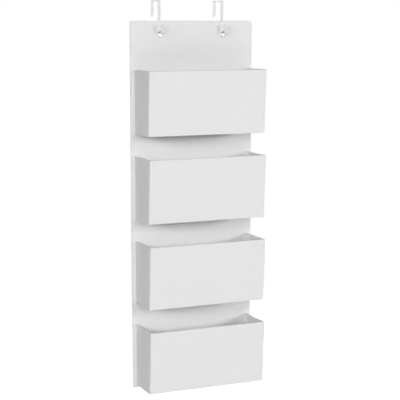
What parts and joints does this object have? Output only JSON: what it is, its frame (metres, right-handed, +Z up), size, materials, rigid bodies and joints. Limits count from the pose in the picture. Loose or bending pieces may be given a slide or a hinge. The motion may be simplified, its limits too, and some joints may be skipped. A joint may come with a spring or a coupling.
{
  "type": "over-the-door organizer",
  "caption": "Tall covered panel with open-topped box pockets one above another, hung by two flat strip hooks that pass through eyelets near its top edge.",
  "frame": {"origin": "midway between the two hooks, on the line where the front face of the door meets its top edge: level with the undersides of the hooks' top bars and with the backs of their front legs", "axes": "+Z up, +X to the right as seen from in front of the pockets, +Y from the pockets towards the door"},
  "size_m": [0.324, 0.1646, 0.96],
  "materials": {
    "cover_fabric": "matte white nonwoven",
    "lining_fabric": "matte white nonwoven",
    "gusset_fabric": "matte white nonwoven",
    "grey_board": "raw grey board",
    "eyelet_nickel": "polished nickel",
    "washer_nickel": "dull nickel",
    "hook_enamel": "satin white enamel"
  },
  "bodies": {
    "panel": {"panel_cover": "cover_fabric", "panel_board": "grey_board", "panel_lining": "lining_fabric", "left_eyelet": "eyelet_nickel", "right_eyelet": "eyelet_nickel", "left_eyelet_washer": "washer_nickel", "right_eyelet_washer": "washer_nickel", "pocket_1_left_gusset": "gusset_fabric", "pocket_1_right_gusset": "gusset_fabric", "pocket_1_floor": "gusset_fabric", "pocket_2_left_gusset": "gusset_fabric", "pocket_2_right_gusset": "gusset_fabric", "pocket_2_floor": "gusset_fabric", "pocket_3_left_gusset": "gusset_fabric", "pocket_3_right_gusset": "gusset_fabric", "pocket_3_floor": "gusset_fabric", "pocket_4_left_gusset": "gusset_fabric", "pocket_4_right_gusset": "gusset_fabric", "pocket_4_floor": "gusset_fabric"},
    "pocket_1_front": {"pocket_1_front_cover": "cover_fabric", "pocket_1_front_board": "grey_board", "pocket_1_front_lining": "lining_fabric"},
    "pocket_2_front": {"pocket_2_front_cover": "cover_fabric", "pocket_2_front_board": "grey_board", "pocket_2_front_lining": "lining_fabric"},
    "pocket_3_front": {"pocket_3_front_cover": "cover_fabric", "pocket_3_front_board": "grey_board", "pocket_3_front_lining": "lining_fabric"},
    "pocket_4_front": {"pocket_4_front_cover": "cover_fabric", "pocket_4_front_board": "grey_board", "pocket_4_front_lining": "lining_fabric"},
    "left_hook": {"left_hook": "hook_enamel"},
    "right_hook": {"right_hook": "hook_enamel"}
  },
  "joints": [
    {"name": "left_hook_swivel", "type": "hinge", "parent": "panel", "child": "left_hook", "pos_m": [-0.0835, -0.00485, -0.08], "axis": [0, 1, 0], "continuous": true},
    {"name": "right_hook_swivel", "type": "hinge", "parent": "panel", "child": "right_hook", "pos_m": [0.0835, -0.00485, -0.08], "axis": [0, 1, 0], "continuous": true},
    {"name": "pocket_1_fold", "type": "slide", "parent": "panel", "child": "pocket_1_front", "axis": [0, 1, 0], "range_m": [0, 0.08], "deforming": ["pocket_1_left_gusset", "pocket_1_right_gusset", "pocket_1_floor"]},
    {"name": "pocket_2_fold", "type": "slide", "parent": "panel", "child": "pocket_2_front", "axis": [0, 1, 0], "range_m": [0, 0.08], "deforming": ["pocket_2_left_gusset", "pocket_2_right_gusset", "pocket_2_floor"]},
    {"name": "pocket_3_fold", "type": "slide", "parent": "panel", "child": "pocket_3_front", "axis": [0, 1, 0], "range_m": [0, 0.08], "deforming": ["pocket_3_left_gusset", "pocket_3_right_gusset", "pocket_3_floor"]},
    {"name": "pocket_4_fold", "type": "slide", "parent": "panel", "child": "pocket_4_front", "axis": [0, 1, 0], "range_m": [0, 0.08], "deforming": ["pocket_4_left_gusset", "pocket_4_right_gusset", "pocket_4_floor"]}
  ]
}
